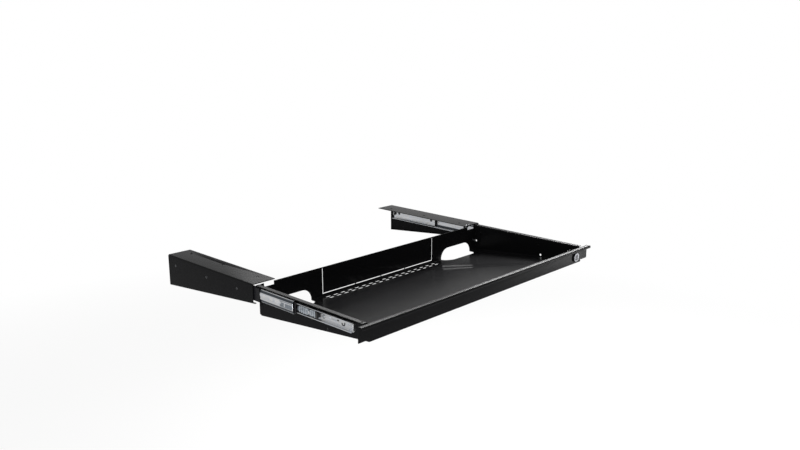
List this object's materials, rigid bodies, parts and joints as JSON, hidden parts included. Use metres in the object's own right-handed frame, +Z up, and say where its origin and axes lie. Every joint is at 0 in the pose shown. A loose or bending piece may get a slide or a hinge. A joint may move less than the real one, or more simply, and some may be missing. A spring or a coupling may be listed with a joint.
{
  "type": "laptop drawer",
  "caption": "Shallow under-desk laptop drawer of folded black sheet with a rolled front lip, cable openings, vents, key lock and telescopic ball slides on wedge brackets.",
  "frame": {"origin": "centre of the desk screw pattern, on the top faces of the bracket flanges, where they meet the desk's underside", "axes": "+X along the desk's front edge to the right, +Y towards the back of the desk, +Z up"},
  "size_m": [0.658, 0.5698, 0.0637],
  "materials": {
    "black_powder_coat": "fine-textured black powder coat",
    "zinc_plate": "bright zinc plate",
    "lock_chrome": "satin nickel-chrome",
    "rubber": "matt black rubber",
    "lever_plastic": "grey moulded plastic",
    "bearing_steel": "polished bearing steel",
    "black_rivet": "black coated steel",
    "cage_plastic": "black moulded plastic"
  },
  "bodies": {
    "brackets": {"left_bracket": "black_powder_coat", "right_bracket": "black_powder_coat", "left_outer_rail": "zinc_plate", "right_outer_rail": "zinc_plate", "bracket_rivets": "black_rivet", "closing_buffers": "rubber", "lock_strike": "zinc_plate", "strike_rivets": "zinc_plate"},
    "middle_rails": {"left_middle_rail": "zinc_plate", "right_middle_rail": "zinc_plate", "left_rail_catch": "zinc_plate", "right_rail_catch": "zinc_plate"},
    "outer_cages": {"left_outer_cage": "cage_plastic", "right_outer_cage": "cage_plastic", "outer_balls": "bearing_steel"},
    "inner_cages": {"left_inner_cage": "cage_plastic", "right_inner_cage": "cage_plastic", "inner_balls": "bearing_steel"},
    "drawer": {"tray": "black_powder_coat", "left_inner_rail": "zinc_plate", "right_inner_rail": "zinc_plate", "rail_rivets": "zinc_plate", "corner_rivets": "black_rivet", "lever_pins": "zinc_plate", "lock_barrel": "lock_chrome", "lock_washer": "zinc_plate", "lock_nut": "zinc_plate"},
    "lock_core": {"lock_plug": "lock_chrome", "lock_cam": "zinc_plate", "cam_screw": "zinc_plate"},
    "left_lever": {"left_release_lever": "lever_plastic"},
    "right_lever": {"right_release_lever": "lever_plastic"}
  },
  "joints": [
    {"name": "drawer_slide", "type": "slide", "parent": "brackets", "child": "drawer", "axis": [0, 1, 0], "range_m": [0, 0.276]},
    {"name": "middle_slide", "type": "slide", "parent": "brackets", "child": "middle_rails", "axis": [0, 1, 0], "range_m": [0, 0.138]},
    {"name": "outer_cage_slide", "type": "slide", "parent": "brackets", "child": "outer_cages", "axis": [0, 1, 0], "range_m": [0, 0.069]},
    {"name": "inner_cage_slide", "type": "slide", "parent": "brackets", "child": "inner_cages", "axis": [0, 1, 0], "range_m": [0, 0.207]},
    {"name": "lock_turn", "type": "hinge", "parent": "drawer", "child": "lock_core", "pos_m": [0.286, -0.404, -0.0205], "axis": [0, 1, 0], "range_deg": [0, 90]},
    {"name": "left_lever_tilt", "type": "hinge", "parent": "drawer", "child": "left_lever", "pos_m": [-0.31, -0.2829, -0.0181], "axis": [1, 0, 0], "range_deg": [-3.5, 0], "stiffness_Nm_per_rad": 0.05},
    {"name": "right_lever_tilt", "type": "hinge", "parent": "drawer", "child": "right_lever", "pos_m": [0.31, -0.2829, -0.0181], "axis": [1, 0, 0], "range_deg": [0, 3.5], "stiffness_Nm_per_rad": 0.05}
  ],
  "couplings": [
    {"joint": "middle_slide", "follows": "drawer_slide", "ratio": 0.5},
    {"joint": "outer_cage_slide", "follows": "drawer_slide", "ratio": 0.25},
    {"joint": "inner_cage_slide", "follows": "drawer_slide", "ratio": 0.75}
  ]
}
